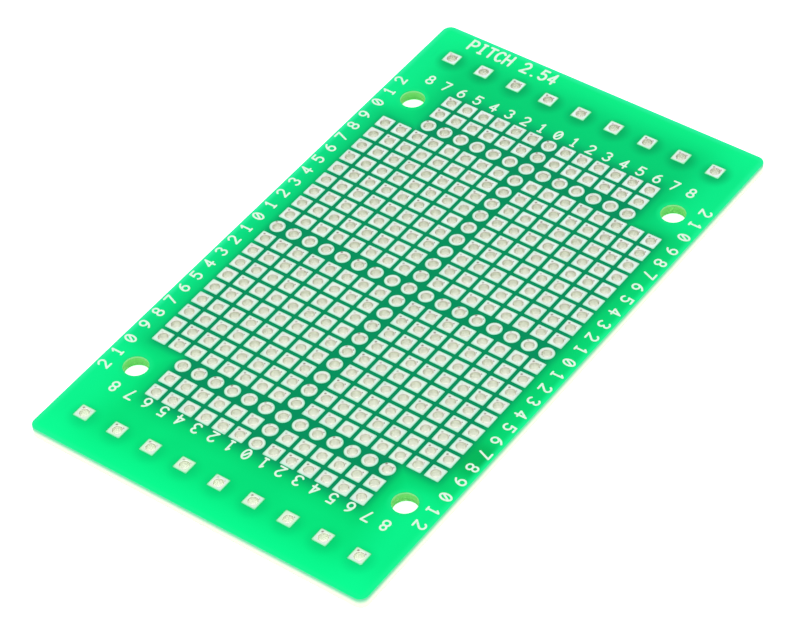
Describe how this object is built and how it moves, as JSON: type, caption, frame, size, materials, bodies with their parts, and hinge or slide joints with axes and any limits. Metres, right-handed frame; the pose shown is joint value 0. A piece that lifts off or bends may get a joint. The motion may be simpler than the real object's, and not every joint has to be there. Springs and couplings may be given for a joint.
{
  "type": "prototyping circuit board",
  "caption": "Bare double-sided plated-through prototyping board with a numbered hole grid, terminal pads along both short edges and corner mounting holes.",
  "frame": {"origin": "centre of the underside, level with the lower faces of the pads", "axes": "+X across the board's width, +Y along its length towards the end with the printed title, +Z out of the component side"},
  "size_m": [0.0494, 0.0862, 0.0016],
  "materials": {
    "fr4_laminate": "glass-epoxy laminate, satin, milled edge",
    "solder_mask": "bright green gloss lacquer film",
    "legend_ink": "screen-printed white ink, on the visual model only",
    "tin_plating": "solder-levelled tin, satin"
  },
  "bodies": {
    "root": {"laminate": "fr4_laminate", "solder_mask_top": "solder_mask", "solder_mask_bottom": "solder_mask", "terminal_pad_rear_1": "tin_plating", "terminal_pad_rear_2": "tin_plating", "terminal_pad_rear_3": "tin_plating", "terminal_pad_rear_4": "tin_plating", "terminal_pad_rear_5": "tin_plating", "terminal_pad_rear_6": "tin_plating", "terminal_pad_rear_7": "tin_plating", "terminal_pad_rear_8": "tin_plating", "terminal_pad_rear_9": "tin_plating", "terminal_pad_front_1": "tin_plating", "terminal_pad_front_2": "tin_plating", "terminal_pad_front_3": "tin_plating", "terminal_pad_front_4": "tin_plating", "terminal_pad_front_5": "tin_plating", "terminal_pad_front_6": "tin_plating", "terminal_pad_front_7": "tin_plating", "terminal_pad_front_8": "tin_plating", "terminal_pad_front_9": "tin_plating", "zero_row_pad_1": "tin_plating", "zero_row_pad_2": "tin_plating", "zero_row_pad_3": "tin_plating", "zero_row_pad_4": "tin_plating", "zero_row_pad_5": "tin_plating", "zero_row_pad_6": "tin_plating", "zero_row_pad_7": "tin_plating", "zero_row_pad_8": "tin_plating", "zero_row_pad_9": "tin_plating", "zero_row_pad_10": "tin_plating", "zero_row_pad_11": "tin_plating", "zero_row_pad_12": "tin_plating", "zero_row_pad_13": "tin_plating", "zero_row_pad_14": "tin_plating", "zero_row_pad_15": "tin_plating", "zero_row_pad_16": "tin_plating", "zero_row_pad_17": "tin_plating", "zero_column_pad_1": "tin_plating", "zero_column_pad_2": "tin_plating", "zero_column_pad_4": "tin_plating", "zero_column_pad_5": "tin_plating", "zero_column_pad_6": "tin_plating", "zero_column_pad_7": "tin_plating", "zero_column_pad_8": "tin_plating", "zero_column_pad_9": "tin_plating", "zero_column_pad_10": "tin_plating", "zero_column_pad_11": "tin_plating", "zero_column_pad_12": "tin_plating", "zero_column_pad_14": "tin_plating", "zero_column_pad_15": "tin_plating", "zero_column_pad_16": "tin_plating", "zero_column_pad_17": "tin_plating", "zero_column_pad_18": "tin_plating", "zero_column_pad_19": "tin_plating", "zero_column_pad_20": "tin_plating", "zero_column_pad_21": "tin_plating", "zero_column_pad_22": "tin_plating", "zero_column_pad_24": "tin_plating", "zero_column_pad_25": "tin_plating"}
  },
  "joints": []
}
